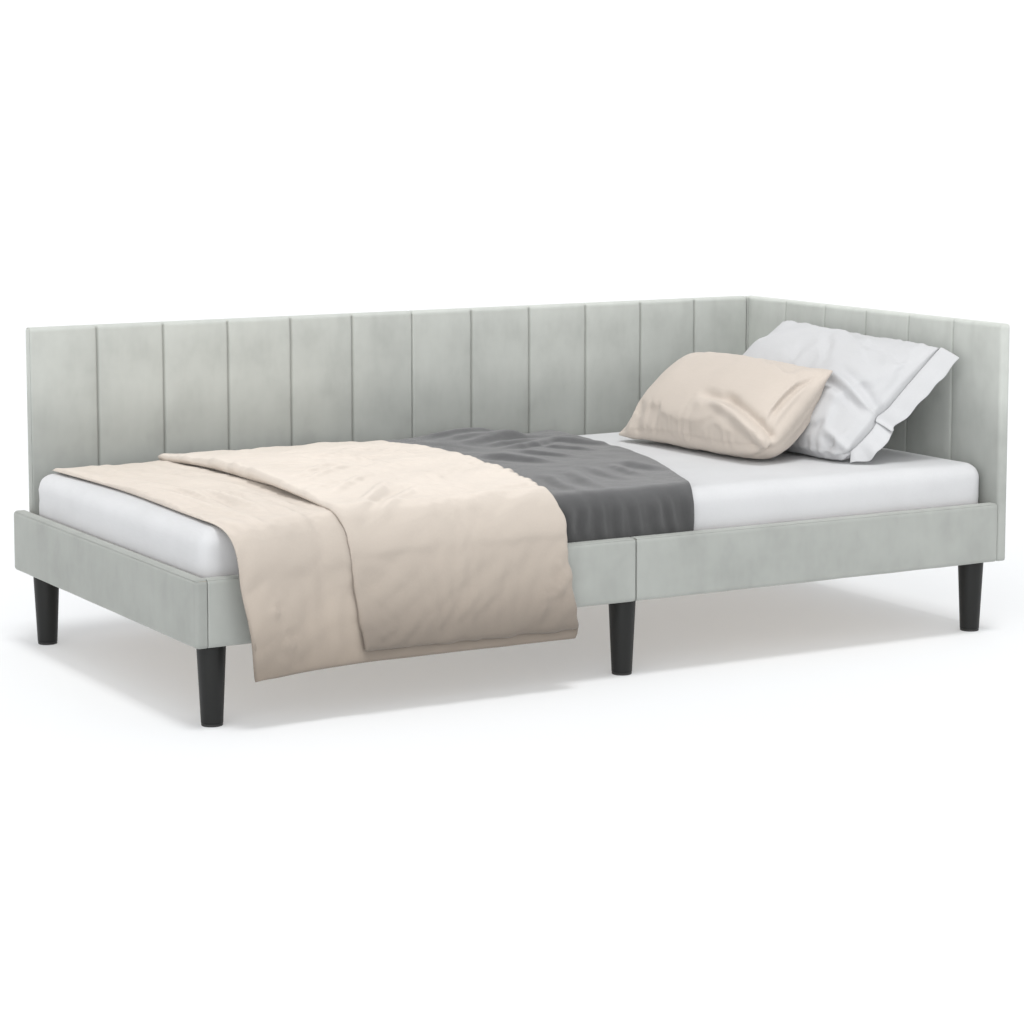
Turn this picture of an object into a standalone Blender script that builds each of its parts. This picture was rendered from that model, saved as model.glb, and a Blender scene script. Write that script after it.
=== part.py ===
"""An L-shaped upholstered daybed, made up with its bedding.

Row frame, in metres: +X towards the head end, +Y towards the back, +Z up. The origin is on the floor, under
the middle of the whole object's box. Four rails and panels, padded and covered in velvet, stand on six screwed
legs; slats carry the mattress, and the bedding lies on it, each piece in its own body that lifts off.
"""
import math

import bmesh
import bpy
from mathutils import Matrix, Vector

# Driving sizes of the frame
INSIDE_LENGTH = 2.000
INSIDE_DEPTH = 1.000
THICKNESS = 0.025          # of every padded rail and panel
HEIGHT = 0.725             # floor to the top of the back and end panels
RAIL_TOP = 0.306
UNDERSIDE = 0.168          # bottom of every rail and panel, and the top of the legs
BACK_SLOT = 0.014          # open slot between the foot rail and the left half of the back
OVERHANG = 0.050           # how far the duvet hangs out in front of the front rail
GAP = 0.0003               # left between pieces that touch

# Faces that follow from them
FRONT = OVERHANG - (OVERHANG + INSIDE_DEPTH + 2 * THICKNESS) / 2
INNER_FRONT = FRONT + THICKNESS
INNER_BACK = INNER_FRONT + INSIDE_DEPTH
BACK = INNER_BACK + THICKNESS
INNER_FOOT = -INSIDE_LENGTH / 2
INNER_HEAD = INSIDE_LENGTH / 2
HALF = INSIDE_LENGTH / 2 - GAP
FULL_DEPTH = INSIDE_DEPTH + 2 * THICKNESS

# Layers of a padded panel, measured from its open rear side
SKIN = 0.0025              # velvet wall round the four edges
LINING_T = 0.0008
PANEL_BOARD_T = 0.010
PANEL_PAD = 0.0184         # where the velvet's own padding starts
RAIL_BOARD_T = 0.016
CHANNELS = 6               # vertical channels on each half of the back, and on the end panel
CHANNEL_STEPS = 6
GROOVE = 0.004
EDGE_RADIUS = 0.009
EDGE_STEPS = 4

# Legs, brackets and the slatted base
LEG_INSET = 0.057          # leg's axis, in from the front rail's and end panel's outer faces
LEG_TOP_R = 0.030
LEG_FOOT_R = 0.0225
GLIDE_H = 0.005
STUD_R = 0.004
STUD_L = 0.022
ROUND_SIDES = 24
PLATE_T = 0.003
PLATE = 0.088
FLANGE_H = 0.034
LEDGE_W = 0.025
LEDGE_BOTTOM = 0.178
LEDGE_TOP = 0.208
SLATS = 11
SLAT_PITCH = 0.174
SLAT_W = 0.075
SLAT_T = 0.012
CROSSBAR_W = 0.040

# Bedding
MATTRESS_TOP = 0.398
BED_FOOT = INNER_FOOT + 0.008
BED_HEAD = INNER_HEAD - 0.010
BED_FRONT = INNER_FRONT + 0.011
BED_BACK = INNER_BACK - 0.028
BED_RADIUS = 0.037
SHEET_T = 0.002
BLANKET_T = 0.004
BLANKET_FOOT = -0.340
DUVET_FOOT = -0.955
DUVET_FOLD = -0.700        # where the folded-back upper half of the duvet begins
DUVET_HEAD = -0.170

COLOURS = {
    "velvet": ((0.46, 0.48, 0.43), 0.75, 0.0),
    "lining": ((0.20, 0.20, 0.20), 0.9, 0.0),
    "foam": ((0.80, 0.74, 0.55), 0.95, 0.0),
    "board": ((0.48, 0.33, 0.19), 0.7, 0.0),
    "slat_wood": ((0.72, 0.55, 0.34), 0.55, 0.0),
    "black_plastic": ((0.030, 0.031, 0.030), 0.35, 0.0),
    "glide": ((0.020, 0.020, 0.020), 0.6, 0.0),
    "zinc": ((0.60, 0.61, 0.62), 0.35, 1.0),
    "black_steel": ((0.05, 0.05, 0.05), 0.45, 1.0),
    "ticking": ((0.80, 0.80, 0.78), 0.9, 0.0),
    "sheet": ((0.80, 0.81, 0.84), 0.85, 0.0),
    "blanket": ((0.12, 0.12, 0.12), 0.9, 0.0),
    "duvet": ((0.72, 0.62, 0.54), 0.85, 0.0),
    "white_cotton": ((0.80, 0.81, 0.83), 0.85, 0.0),
    "cream_cotton": ((0.68, 0.57, 0.47), 0.85, 0.0),
    "filling": ((0.85, 0.85, 0.82), 0.95, 0.0),
}


# Making and joining meshes

def clear_scene():
    for item in list(bpy.data.objects):
        bpy.data.objects.remove(item, do_unlink=True)


def material(slot):
    found = bpy.data.materials.get(slot)
    if found:
        return found
    colour, roughness, metallic = COLOURS[slot]
    made = bpy.data.materials.new(slot)
    made.use_nodes = True
    shader = made.node_tree.nodes["Principled BSDF"]
    shader.inputs["Base Color"].default_value = (*colour, 1)
    shader.inputs["Roughness"].default_value = roughness
    shader.inputs["Metallic"].default_value = metallic
    return made


def add(name, bm, slot, smooth=False):
    """Turns a bmesh into a named object with its faces out."""
    bmesh.ops.recalc_face_normals(bm, faces=bm.faces)
    mesh = bpy.data.meshes.new(name)
    bm.to_mesh(mesh)
    bm.free()
    mesh.materials.append(material(slot))
    if smooth:
        mesh.shade_smooth()
        mesh.set_sharp_from_angle(angle=math.radians(35))
    made = bpy.data.objects.new(name, mesh)
    bpy.context.scene.collection.objects.link(made)
    return made


def boolean(target, tool, operation):
    """Combines target with tool, which is hidden and kept as a helper."""
    step = target.modifiers.new(operation.lower(), "BOOLEAN")
    step.operation = operation
    step.solver = "EXACT"
    step.object = tool
    tool.hide_render = True
    tool.display_type = "WIRE"
    if target.parent:
        tool.parent = target.parent
    return target


def box(name, low, high, slot, radius=0.0, steps=3):
    """A box between two corners, with all its edges rounded where radius isn't 0."""
    bm = bmesh.new()
    bmesh.ops.create_cube(bm, size=1.0)
    low, high = Vector(low), Vector(high)
    for vert in bm.verts:
        vert.co = Vector([low[i] + (vert.co[i] + 0.5) * (high[i] - low[i]) for i in range(3)])
    if radius:
        bmesh.ops.bevel(bm, geom=bm.edges[:], offset=radius, segments=steps, profile=0.5, affect="EDGES")
    return add(name, bm, slot, smooth=bool(radius))


def loft(name, rings, slot, smooth=False):
    """A closed solid through rings of points, each ring with the same number of points."""
    bm = bmesh.new()
    loops = [[bm.verts.new(point) for point in ring] for ring in rings]
    count = len(rings[0])
    for first, second in zip(loops, loops[1:]):
        for i in range(count):
            j = (i + 1) % count
            bm.faces.new((first[i], first[j], second[j], second[i]))
    bm.faces.new(loops[0])
    bm.faces.new(loops[-1])
    return add(name, bm, slot, smooth)


def lathe(name, profile, centre, slot):
    """A turned solid. The profile is (radius, z) from the foot to the top, both ends on the axis."""
    bm = bmesh.new()
    rows = []
    for radius, z in profile:
        sides = ROUND_SIDES if radius else 1
        angles = [2 * math.pi * k / sides for k in range(sides)]
        rows.append([bm.verts.new((centre[0] + radius * math.cos(a), centre[1] + radius * math.sin(a), z))
                     for a in angles])
    for lower, upper in zip(rows, rows[1:]):
        for k in range(ROUND_SIDES):
            n = (k + 1) % ROUND_SIDES
            corners = [lower[k % len(lower)], lower[n % len(lower)], upper[n % len(upper)], upper[k % len(upper)]]
            bm.faces.new(list(dict.fromkeys(corners)))
    return add(name, bm, slot, smooth=True)


# Upholstered rails and panels. Each is made in its own frame: x along it, y out of its padded face.

def unit_frame(name, corner, turn):
    """The empty that carries one rail or panel, at its corner on the floor line."""
    holder = bpy.data.objects.new(name + "_frame", None)
    holder.location = (*corner, 0)
    holder.rotation_euler.z = turn
    bpy.context.scene.collection.objects.link(holder)
    return holder


def carried(holder, *pieces):
    for piece in pieces:
        piece.parent = holder


def rounded_rail_section(length):
    """Rings of a rail's cover: a rounded outer edge, top and bottom, run along the rail."""
    outline = [(0, UNDERSIDE)]
    for centre, start in ((UNDERSIDE + EDGE_RADIUS, -90), (RAIL_TOP - EDGE_RADIUS, 0)):
        for step in range(EDGE_STEPS + 1):
            angle = math.radians(start + 90 * step / EDGE_STEPS)
            outline.append((THICKNESS - EDGE_RADIUS + EDGE_RADIUS * math.cos(angle),
                            centre + EDGE_RADIUS * math.sin(angle)))
    outline.append((0, RAIL_TOP))
    return [[(x, y, z) for y, z in outline] for x in (0, length)]


def rail(name, length, corner, turn):
    """A board in a padded velvet cover that wraps its outside and edges, open on the inside."""
    cover = loft(name + "_cover", rounded_rail_section(length), "velvet", smooth=True)
    pad = GAP + RAIL_BOARD_T + GAP
    hollow = box(name + "_hollow", (SKIN, -0.01, UNDERSIDE + SKIN), (length - SKIN, pad, RAIL_TOP - SKIN), "foam")
    inset = SKIN + GAP
    board = box(name + "_board", (inset, GAP, UNDERSIDE + inset),
                (length - inset, GAP + RAIL_BOARD_T, RAIL_TOP - inset), "board")
    carried(unit_frame(name, corner, turn), cover, board)
    boolean(cover, hollow, "DIFFERENCE")


def channelled_face(length, span):
    """Points of the padded face seen from above, crowned between the seams of its channels over span."""
    points = []
    for channel in range(CHANNELS):
        for step in range(CHANNEL_STEPS):
            across = step / CHANNEL_STEPS
            crown = 1 - (2 * across - 1) ** 4
            points.append((span * (channel + across) / CHANNELS, THICKNESS - GROOVE * (1 - crown)))
    points.append((span, THICKNESS - GROOVE))
    if length > span:
        points += [(span + GROOVE, THICKNESS), (length, THICKNESS)]
    return points


def panel(name, length, span, corner, turn):
    """A tall channelled panel: lining, board and foam inside a velvet cover that is open at the rear."""
    outline = [(0, 0)] + channelled_face(length, span) + [(length, 0)]
    rings = [[(x, y, z) for x, y in outline] for z in (UNDERSIDE, HEIGHT)]
    cover = loft(name + "_cover", rings, "velvet")
    low, high = UNDERSIDE + SKIN, HEIGHT - SKIN
    hollow = box(name + "_hollow", (SKIN, -0.01, low), (length - SKIN, PANEL_PAD, high), "foam")
    inset = SKIN + GAP
    low, high = low + GAP, high - GAP
    front = length - inset
    layers = []
    rear = 0.0
    for layer, thickness, slot in (("lining", LINING_T, "lining"), ("board", PANEL_BOARD_T, "board"),
                                   ("foam", PANEL_PAD - LINING_T - PANEL_BOARD_T - 3 * GAP, "foam")):
        layers.append(box(f"{name}_{layer}", (inset, rear, low), (front, rear + thickness, high), slot))
        rear += thickness + GAP
    carried(unit_frame(name, corner, turn), cover, *layers)
    boolean(cover, hollow, "DIFFERENCE")


def upholstery():
    across, along = math.radians(90), math.radians(180)
    rail("foot_rail", FULL_DEPTH, (INNER_FOOT, FRONT), across)
    rail("front_rail_left", HALF, (-GAP / 2, INNER_FRONT), along)
    rail("front_rail_right", HALF, (INNER_HEAD - GAP, INNER_FRONT), along)
    left = HALF - BACK_SLOT
    panel("back_panel_left", left, left, (-GAP / 2, BACK), along)
    panel("back_panel_right", HALF, HALF, (INNER_HEAD - GAP, BACK), along)
    panel("end_panel", FULL_DEPTH, FULL_DEPTH - THICKNESS, (INNER_HEAD + THICKNESS, FRONT), across)


# Legs and the slatted base

def leg_places():
    """Name and centre of each leg: both ends and the middle joint, front and back."""
    rows = (("front", INNER_FRONT - THICKNESS + LEG_INSET), ("back", INNER_BACK + THICKNESS - LEG_INSET))
    inset = LEG_INSET - THICKNESS
    columns = (("left", INNER_FOOT + inset), ("middle", 0.0), ("right", INNER_HEAD - inset))
    return [(row, column, x, y) for row, y in rows for column, x in columns]


def leg(row, column, x, y):
    foot, top = GLIDE_H + GAP, UNDERSIDE - GAP
    profile = [(0, foot), (LEG_FOOT_R, foot), (LEG_TOP_R, top), (STUD_R, top), (STUD_R, top + STUD_L),
               (0, top + STUD_L)]
    lathe(f"leg_{row}_{column}", profile, (x, y), "black_plastic")
    edge = 0.001
    profile = [(0, 0), (LEG_FOOT_R - edge, 0), (LEG_FOOT_R, edge), (LEG_FOOT_R, GLIDE_H), (0, GLIDE_H)]
    lathe(f"glide_{row}_{column}", profile, (x, y), "glide")


def bracket(row, column, x, y):
    """A zinc plate over one leg, with flanges up the inner faces beside it and a hole for the leg's stud."""
    name = f"bracket_{row}_{column}"
    wall_y = INNER_FRONT + GAP if row == "front" else INNER_BACK - GAP
    inward_y = 1 if row == "front" else -1
    half = PLATE / 2
    bottom = UNDERSIDE + GAP
    if column == "middle":
        x_span = (-half, half)
    elif column == "left":
        x_span = (INNER_FOOT + GAP, INNER_FOOT + GAP + PLATE)
    else:
        x_span = (INNER_HEAD - GAP - PLATE, INNER_HEAD - GAP)
    y_span = sorted((wall_y, wall_y + inward_y * PLATE))
    plate = box(name, (x_span[0], y_span[0], bottom), (x_span[1], y_span[1], bottom + PLATE_T), "zinc")
    flange_y = sorted((wall_y, wall_y + inward_y * PLATE_T))
    side = box(name + "_flange", (x_span[0], flange_y[0], bottom), (x_span[1], flange_y[1], bottom + FLANGE_H),
               "zinc")
    boolean(plate, side, "UNION")
    if column != "middle":
        end_x = (x_span[0], x_span[0] + PLATE_T) if column == "left" else (x_span[1] - PLATE_T, x_span[1])
        end = box(name + "_end", (end_x[0], y_span[0], bottom), (end_x[1], y_span[1], bottom + FLANGE_H), "zinc")
        boolean(plate, end, "UNION")
    clearance = 0.0005
    hole = [(0, bottom - 0.01), (STUD_R + clearance, bottom - 0.01), (STUD_R + clearance, bottom + 0.02),
            (0, bottom + 0.02)]
    boolean(plate, lathe(name + "_hole", hole, (x, y), "zinc"), "DIFFERENCE")


def slatted_base():
    """Ledges screwed inside the long sides, a steel bar across the middle joint, and the slats on them."""
    spans = (("left", INNER_FOOT + PLATE + 0.005, -PLATE / 2 - 0.005),
             ("right", PLATE / 2 + 0.005, INNER_HEAD - PLATE - 0.005))
    rows = (("front", INNER_FRONT + GAP, INNER_FRONT + LEDGE_W), ("back", INNER_BACK - LEDGE_W, INNER_BACK - GAP))
    for side, start, end in spans:
        for row, near, far in rows:
            box(f"slat_ledge_{row}_{side}", (start, near, LEDGE_BOTTOM), (end, far, LEDGE_TOP), "slat_wood")
    reach = PLATE_T + 2 * GAP
    box("middle_crossbar", (-CROSSBAR_W / 2, INNER_FRONT + reach, UNDERSIDE + STUD_L + 2 * GAP),
        (CROSSBAR_W / 2, INNER_BACK - reach, LEDGE_TOP), "black_steel")
    end_gap = 0.004
    for number in range(SLATS):
        x = (number - (SLATS - 1) / 2) * SLAT_PITCH
        box(f"slat_{number + 1:02d}", (x - SLAT_W / 2, INNER_FRONT + end_gap, LEDGE_TOP + GAP),
            (x + SLAT_W / 2, INNER_BACK - end_gap, LEDGE_TOP + GAP + SLAT_T), "slat_wood", radius=0.0015, steps=1)


# Bedding

def mattress_and_sheet():
    bottom = LEDGE_TOP + SLAT_T + 3 * GAP
    outer = (BED_FOOT, BED_FRONT, bottom), (BED_HEAD, BED_BACK, MATTRESS_TOP)

    def inset_box(name, inset, slot, low):
        (x0, y0, _), (x1, y1, top) = outer
        return box(name, (x0 + inset, y0 + inset, low), (x1 - inset, y1 - inset, top - inset), slot,
                   radius=BED_RADIUS - inset)

    sheet = inset_box("fitted_sheet", 0.0, "sheet", bottom)
    below = 0.1
    boolean(sheet, inset_box("fitted_sheet_inside", SHEET_T, "sheet", bottom - below), "DIFFERENCE")
    inset_box("mattress", SHEET_T + GAP, "ticking", bottom)


def across_bed(path, ring_at):
    """Rings of a cloth that crosses the bed: ring_at gives one ring's (x, lift) points at each path point."""
    rings = []
    for index, point in enumerate(path):
        before = Vector(path[max(index - 1, 0)])
        after = Vector(path[min(index + 1, len(path) - 1)])
        run = (after - before).normalized()
        outward = Vector((run.y, -run.x))
        if outward.dot(Vector((-1, 1))) < 0:
            outward = -outward
        rings.append([(x, point[0] + outward.x * lift, point[1] + outward.y * lift)
                      for x, lift in ring_at(index / (len(path) - 1), point)])
    return rings


def arc(centre, radius, start, end, steps):
    """Points (y, z) on a round edge."""
    angles = [math.radians(start + (end - start) * k / steps) for k in range(steps + 1)]
    return [(centre[0] + radius * math.cos(a), centre[1] + radius * math.sin(a)) for a in angles]


def blanket():
    """Over the mattress and tucked down between it and the front rail. Its head edge runs aslant."""
    clear = 0.0010
    corner = (BED_FRONT + BED_RADIUS, MATTRESS_TOP - BED_RADIUS)
    top = MATTRESS_TOP + clear
    path = [(BED_BACK - 0.010, top), (0.30, top), (0.12, top), (-0.07, top), (-0.25, top)]
    path += arc(corner, BED_RADIUS + clear, 90, 180, 3)
    path += [(BED_FRONT - clear, 0.275)]
    slant = 0.215              # how much further the head edge reaches at the back than at the front

    def ring(_, point):
        back = (point[0] - BED_FRONT) / (BED_BACK - BED_FRONT)
        head = 0.163 + slant * math.sin(min(max(back, 0) * 1.9, 1.9))
        return [(BLANKET_FOOT, 0), (head, 0), (head, BLANKET_T), (BLANKET_FOOT, BLANKET_T)]

    loft("blanket", across_bed(path, ring), "blanket")


def duvet():
    """Folded double towards the head, across the bed and down in front of the front rail."""
    top = MATTRESS_TOP + 0.0020
    path = [(INNER_BACK - 0.050, top), (0.0, top), (INNER_FRONT + 0.080, top), (INNER_FRONT + 0.032, top - 0.003),
            (INNER_FRONT, top - 0.016), (INNER_FRONT - 0.020, top - 0.046), (FRONT - 0.006, top - 0.086),
            (FRONT - 0.006, 0.24), (FRONT - 0.006, 0.168), (FRONT - 0.010, 0.125), (FRONT - 0.010, 0.110)]
    rise = BLANKET_T + 0.0020
    thin_top, thin_hung = 0.014, 0.020
    thick_top, thick_hung = 0.037, OVERHANG - 0.010

    def ring(along, _):
        thin = thin_top + (thin_hung - thin_top) * along
        thick = thick_top + (thick_hung - thick_top) * along
        step = BLANKET_FOOT - 0.010
        return [(DUVET_FOOT, 0), (step, 0), (step, rise), (DUVET_HEAD, rise), (DUVET_HEAD, thick),
                (DUVET_FOLD, thick), (DUVET_FOLD, thin), (DUVET_FOOT, thin)]

    loft("duvet", across_bed(path, ring), "duvet")


def pillow_shape(name, width, height, thickness, flange, slot):
    """A crowned pad in its own frame: x along it, y up it, z out of its front. The flange is at +x."""
    columns, rows = 14, 10
    edge = 0.0015
    body = width - flange

    def at(i, j, side):
        x = -width / 2 + body * i / columns if i <= columns else width / 2
        y = height * (j / rows - 0.5)
        a, b = min(2 * i / columns - 1, 1.0), 2 * j / rows - 1
        crown = (max(1 - a * a, 0) * max(1 - b * b, 0)) ** 0.7
        return (x, y, side * (edge + (thickness / 2 - edge) * crown))

    last = columns + (1 if flange else 0)
    bm = bmesh.new()
    grids = {side: [[bm.verts.new(at(i, j, side)) for j in range(rows + 1)] for i in range(last + 1)]
             for side in (1, -1)}
    for grid in grids.values():
        for i in range(last):
            for j in range(rows):
                bm.faces.new((grid[i][j], grid[i + 1][j], grid[i + 1][j + 1]))
                bm.faces.new((grid[i][j], grid[i + 1][j + 1], grid[i][j + 1]))
    rim = [(i, 0) for i in range(last)] + [(last, j) for j in range(rows)]
    rim += [(i, rows) for i in range(last, 0, -1)] + [(0, j) for j in range(rows, 0, -1)]
    for (i, j), (m, n) in zip(rim, rim[1:] + rim[:1]):
        bm.faces.new((grids[1][i][j], grids[1][m][n], grids[-1][m][n], grids[-1][i][j]))
    return add(name, bm, slot, smooth=True)


def pillow(name, centre, size, lean, flange, slot):
    """A pillowcase with its filling inside. The case is open at a slit across its back."""
    width, height, thickness = size
    holder = bpy.data.objects.new(name + "_frame", None)
    up, front = Vector((math.cos(lean), 0, math.sin(lean))), Vector((-math.sin(lean), 0, math.cos(lean)))
    turned = Matrix((up.cross(front), up, front)).transposed()
    holder.location = centre
    holder.rotation_euler = turned.to_euler()
    bpy.context.scene.collection.objects.link(holder)
    case = pillow_shape(name + "_case", width, height, thickness, flange, slot)
    shift = -flange / 2
    wall = 0.002
    rim = 0.005
    body = width - flange
    inside = pillow_shape(name + "_inside", body - 2 * rim, height - 2 * rim, thickness - 2 * wall, 0, slot)
    less = 2 * GAP
    filling = pillow_shape(name + "_filling", body - 2 * rim - 2 * less, height - 2 * rim - 2 * less,
                           thickness - 2 * wall - 2 * less, 0, "filling")
    slit_x = body / 2 * 0.55 + shift
    slit = box(name + "_slit", (slit_x, -height * 0.36, -thickness), (slit_x + 0.004, height * 0.36, -0.25 * thickness),
               slot)
    carried(holder, case, filling)
    for piece in (inside, filling):
        piece.location.x = shift
    boolean(case, inside, "DIFFERENCE")
    boolean(case, slit, "DIFFERENCE")


def bedding():
    mattress_and_sheet()
    blanket()
    duvet()
    pillow("pillow_white", (0.830, -0.050, 0.5495), (0.640, 0.385, 0.150), math.radians(48), 0.050, "white_cotton")
    pillow("pillow_cream", (0.598, 0.075, 0.5035), (0.550, 0.300, 0.130), math.radians(38), 0.0, "cream_cotton")


def main():
    clear_scene()
    upholstery()
    for place in leg_places():
        leg(*place)
        bracket(*place)
    slatted_base()
    bedding()


main()
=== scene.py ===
"""The looks of the L-shaped daybed: velvet upholstery, slatted base, mattress and bedding."""
import math

import bmesh
import bpy
import numpy as np
from mathutils import Euler, Matrix, Vector, noise


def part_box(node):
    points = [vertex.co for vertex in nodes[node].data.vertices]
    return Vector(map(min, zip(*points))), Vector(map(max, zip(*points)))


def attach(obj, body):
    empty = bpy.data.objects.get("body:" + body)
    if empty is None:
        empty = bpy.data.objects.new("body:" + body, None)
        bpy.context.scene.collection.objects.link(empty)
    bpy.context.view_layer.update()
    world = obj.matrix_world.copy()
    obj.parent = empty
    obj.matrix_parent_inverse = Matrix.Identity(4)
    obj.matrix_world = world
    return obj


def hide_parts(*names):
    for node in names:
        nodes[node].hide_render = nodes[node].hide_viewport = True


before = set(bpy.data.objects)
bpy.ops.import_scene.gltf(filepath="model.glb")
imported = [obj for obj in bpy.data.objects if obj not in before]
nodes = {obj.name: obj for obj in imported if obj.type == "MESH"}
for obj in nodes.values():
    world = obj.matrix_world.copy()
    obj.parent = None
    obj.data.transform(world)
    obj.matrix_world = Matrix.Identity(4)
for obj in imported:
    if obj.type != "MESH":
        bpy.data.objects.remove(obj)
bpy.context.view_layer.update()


# Small helpers

def smoothstep(low, high, value):
    """0 below low, 1 above high, and a smooth ramp between them. Works on numbers and arrays."""
    t = np.clip((value - low) / (high - low), 0.0, 1.0)
    return t * t * (3 - 2 * t)


def waves(points, scale, seed, octaves=3):
    """Smooth noise between about -1 and 1 at each point, with features about scale metres across."""
    shift = Vector((seed * 7.31, seed * 3.17, seed * 5.03))
    return np.array([noise.fractal(Vector(p) / scale + shift, 1.0, 2.0, octaves) for p in points])


def mesh_object(name, points, faces, material, smooth=True):
    mesh = bpy.data.meshes.new(name)
    mesh.from_pydata([tuple(p) for p in points], [], faces)
    mesh.validate()
    bm = bmesh.new()
    bm.from_mesh(mesh)
    bmesh.ops.recalc_face_normals(bm, faces=bm.faces)
    bm.to_mesh(mesh)
    bm.free()
    if smooth:
        mesh.shade_smooth()
    mesh.materials.append(material)
    made = bpy.data.objects.new(name, mesh)
    bpy.context.scene.collection.objects.link(made)
    return made


def values_of(items, key, width):
    """One row for each item of a mesh's collection."""
    flat = np.empty(len(items) * width, np.float32)
    items.foreach_get(key, flat)
    return flat.reshape(-1, width).astype(float)


def points_of(obj):
    return values_of(obj.data.vertices, "co", 3)


def normals_of(obj):
    return values_of(obj.data.vertex_normals, "vector", 3)


def set_points(obj, points):
    obj.data.vertices.foreach_set("co", np.asarray(points, np.float32).ravel())
    obj.data.update()


def apply_modifiers(obj):
    """Replaces the mesh with what its modifiers make of it."""
    graph = bpy.context.evaluated_depsgraph_get()
    made = bpy.data.meshes.new_from_object(obj.evaluated_get(graph), depsgraph=graph)
    obj.modifiers.clear()
    old = obj.data
    obj.data = made
    made.name = obj.name
    bpy.data.meshes.remove(old)
    return obj


def subdivide(obj):
    step = obj.modifiers.new("smooth", "SUBSURF")
    step.levels = step.render_levels = 1
    return apply_modifiers(obj)


def solidify(obj, thickness, offset=-1.0):
    step = obj.modifiers.new("thickness", "SOLIDIFY")
    step.thickness = thickness
    step.offset = offset
    return apply_modifiers(obj)


def store(obj, name, values):
    """Keeps one number for each point, which later subdivisions carry along."""
    layer = obj.data.attributes.new(name, "FLOAT", "POINT")
    layer.data.foreach_set("value", np.asarray(values, np.float32))


def stored(obj, name):
    return values_of(obj.data.attributes[name].data, "value", 1).ravel()


def unit_grid(columns, rows, low=0):
    """Two arrays that run from low to 1, one along each side of a grid."""
    return np.meshgrid(np.linspace(low, 1, columns + 1), np.linspace(low, 1, rows + 1), indexing="ij")


def grid_quads(ids):
    """The quads between the points of a grid, given the points' numbers."""
    return np.stack([ids[:-1, :-1], ids[1:, :-1], ids[1:, 1:], ids[:-1, 1:]], axis=-1).reshape(-1, 4)


def grid_mesh(name, points, shape, material):
    """A sheet from a grid of points."""
    ids = np.arange(shape[0] * shape[1]).reshape(shape)
    return mesh_object(name, points, grid_quads(ids).tolist(), material)


def declare(piece, body, slot, *replaced):
    """Names the body that carries a piece, hanging the piece on it, and the CAD nodes it stands for, which it
    hides. The slot of its material is not used.
    """
    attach(piece, body)
    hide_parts(*replaced)


# Materials. Every pattern is worked out from the piece's own coordinates, in metres.

class Shader:
    """A node material under construction."""

    def __init__(self, name, roughness, metallic=0.0):
        self.material = bpy.data.materials.new(name)
        self.material.use_nodes = True
        self.tree = self.material.node_tree
        self.out = self.tree.nodes["Principled BSDF"]
        self.out.inputs["Roughness"].default_value = roughness
        self.out.inputs["Metallic"].default_value = metallic
        self.place = self.tree.nodes.new("ShaderNodeTexCoord").outputs["Object"]

    def node(self, kind, **values):
        made = self.tree.nodes.new(kind)
        for key, value in values.items():
            if hasattr(made, key):
                setattr(made, key, value)
            else:
                made.inputs[key.replace("_", " ")].default_value = value
        return made

    def link(self, source, target):
        self.tree.links.new(source, target)

    def stretched(self, scale):
        mapping = self.node("ShaderNodeMapping")
        mapping.inputs["Scale"].default_value = scale
        self.link(self.place, mapping.inputs["Vector"])
        return mapping.outputs["Vector"]

    def noise(self, scale, detail=2.0, roughness=0.5, stretch=None):
        made = self.node("ShaderNodeTexNoise", Scale=scale, Detail=detail, Roughness=roughness)
        self.link(self.stretched(stretch) if stretch else self.place, made.inputs["Vector"])
        return made.outputs["Fac"]

    def wave(self, scale, axis, distortion=0.0):
        made = self.node("ShaderNodeTexWave", bands_direction=axis, Scale=scale, Distortion=distortion)
        self.link(self.place, made.inputs["Vector"])
        return made.outputs["Fac"]

    def math(self, operation, first, second):
        made = self.node("ShaderNodeMath", operation=operation)
        for socket, value in zip(made.inputs, (first, second)):
            if isinstance(value, (int, float)):
                socket.default_value = value
            else:
                self.link(value, socket)
        return made.outputs["Value"]

    def blend(self, first, second, share):
        """A share of the first value and the rest of the second."""
        return self.math("ADD", self.math("MULTIPLY", first, share), self.math("MULTIPLY", second, 1 - share))

    def ramp(self, source, *stops):
        """A colour that follows a value. Each stop is (value, colour), where one number is a grey."""
        made = self.node("ShaderNodeValToRGB")
        ramp = made.color_ramp
        while len(ramp.elements) < len(stops):
            ramp.elements.new(0.5)
        for element, (position, colour) in zip(ramp.elements, stops):
            element.position = position
            element.color = (*colour, 1) if isinstance(colour, tuple) else (colour, colour, colour, 1)
        self.link(source, made.inputs["Fac"])
        return made.outputs["Color"]

    def tinted(self, tone, source, *stops):
        """Multiplies a colour by a tint that follows a value."""
        mix = self.node("ShaderNodeMix", data_type="RGBA", blend_type="MULTIPLY")
        mix.inputs["Factor"].default_value = 1.0
        self.link(tone, mix.inputs[6])
        self.link(self.ramp(source, *stops), mix.inputs[7])
        return mix.outputs[2]

    def upward(self, output):
        """The piece's own Z in metres ("Object"), or how far its surface faces up, 0 to 1 ("Normal")."""
        split = self.node("ShaderNodeSeparateXYZ")
        self.link(self.node("ShaderNodeTexCoord").outputs[output], split.inputs["Vector"])
        return split.outputs["Z"]

    def stored(self, name):
        """One number that the mesh keeps for each point."""
        return self.node("ShaderNodeAttribute", attribute_name=name).outputs["Fac"]

    def colour(self, source):
        self.link(source, self.out.inputs["Base Color"])

    def bump(self, height, strength, distance):
        made = self.node("ShaderNodeBump", Strength=strength, Distance=distance)
        self.link(height, made.inputs["Height"])
        previous = self.out.inputs["Normal"].links
        if previous:
            self.link(previous[0].from_socket, made.inputs["Normal"])
        self.link(made.outputs["Normal"], self.out.inputs["Normal"])

    def sheen(self, weight, roughness, tint=(1, 1, 1)):
        self.out.inputs["Sheen Weight"].default_value = weight
        self.out.inputs["Sheen Roughness"].default_value = roughness
        self.out.inputs["Sheen Tint"].default_value = (*tint, 1)


def shade(colour, factor):
    return tuple(min(c * factor, 1.0) for c in colour)


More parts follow.
